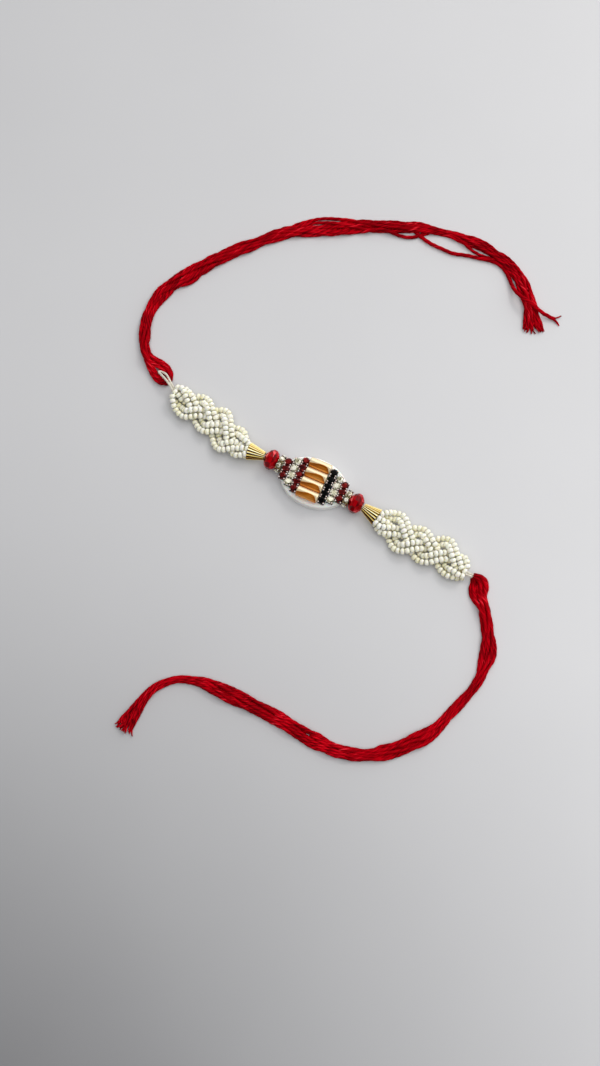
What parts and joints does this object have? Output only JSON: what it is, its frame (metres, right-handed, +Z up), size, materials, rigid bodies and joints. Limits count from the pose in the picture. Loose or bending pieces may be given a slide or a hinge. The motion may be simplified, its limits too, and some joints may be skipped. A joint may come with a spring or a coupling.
{
  "type": "rakhi thread bracelet",
  "caption": "Open wrist band: an oval pad with pearl tubes and rows of cut stones, crystals and gold cones, plaited white bead strings and red tying threads.",
  "frame": {"origin": "middle of the pad's underside, the face that the bracelet lies on", "axes": "+X along the band, from the garnet-led end to the black-row end; +Z up out of the pad"},
  "size_m": [0.1482, 0.1899, 0.0065],
  "materials": {
    "pad": "glossy white, soft edge",
    "pearl": "champagne-gold pearl coat",
    "setting": "thin gold plate, polished",
    "spacer_metal": "silver plate, polished",
    "garnet_stone": "cut glass, dark red, foiled back",
    "clear_stone": "cut glass, clear, foiled back",
    "black_stone": "cut glass, black",
    "red_crystal": "faceted glass, bright red",
    "cone_gold": "bright gold plate, fluted",
    "seed_glass": "opaque cream seed beads, glossy",
    "white_thread": "plied white thread",
    "red_thread": "plied crimson thread, slightly fuzzy"
  },
  "bodies": {
    "root": {"backing_pad": "pad", "pearl_tube_1": "pearl", "pearl_tube_2": "pearl", "pearl_tube_3": "pearl", "pearl_tube_4": "pearl", "garnet_row_inner_left_cups": "setting", "garnet_row_inner_left_stones": "garnet_stone", "clear_row_left_cups": "setting", "clear_row_left_stones": "clear_stone", "garnet_row_outer_left_cups": "setting", "garnet_row_outer_left_stones": "garnet_stone", "black_row_right_cups": "setting", "black_row_right_stones": "black_stone", "clear_row_right_cups": "setting", "clear_row_right_stones": "clear_stone", "garnet_row_outer_right_cups": "setting", "garnet_row_outer_right_stones": "garnet_stone", "spacer_left": "spacer_metal", "spacer_stones_left": "clear_stone", "crystal_left": "red_crystal", "cone_left": "cone_gold", "string_thread_left": "white_thread", "bead_strand_left_1": "seed_glass", "bead_strand_left_2": "seed_glass", "bead_strand_left_3": "seed_glass", "white_loop_left": "white_thread", "spacer_right": "spacer_metal", "spacer_stones_right": "clear_stone", "crystal_right": "red_crystal", "cone_right": "cone_gold", "string_thread_right": "white_thread", "bead_strand_right_1": "seed_glass", "bead_strand_right_2": "seed_glass", "bead_strand_right_3": "seed_glass", "white_loop_right": "white_thread", "red_bundle_upper": "red_thread", "red_bundle_lower": "red_thread", "red_fold_upper": "red_thread", "red_fold_lower": "red_thread", "red_loose_thread": "red_thread"}
  },
  "joints": []
}
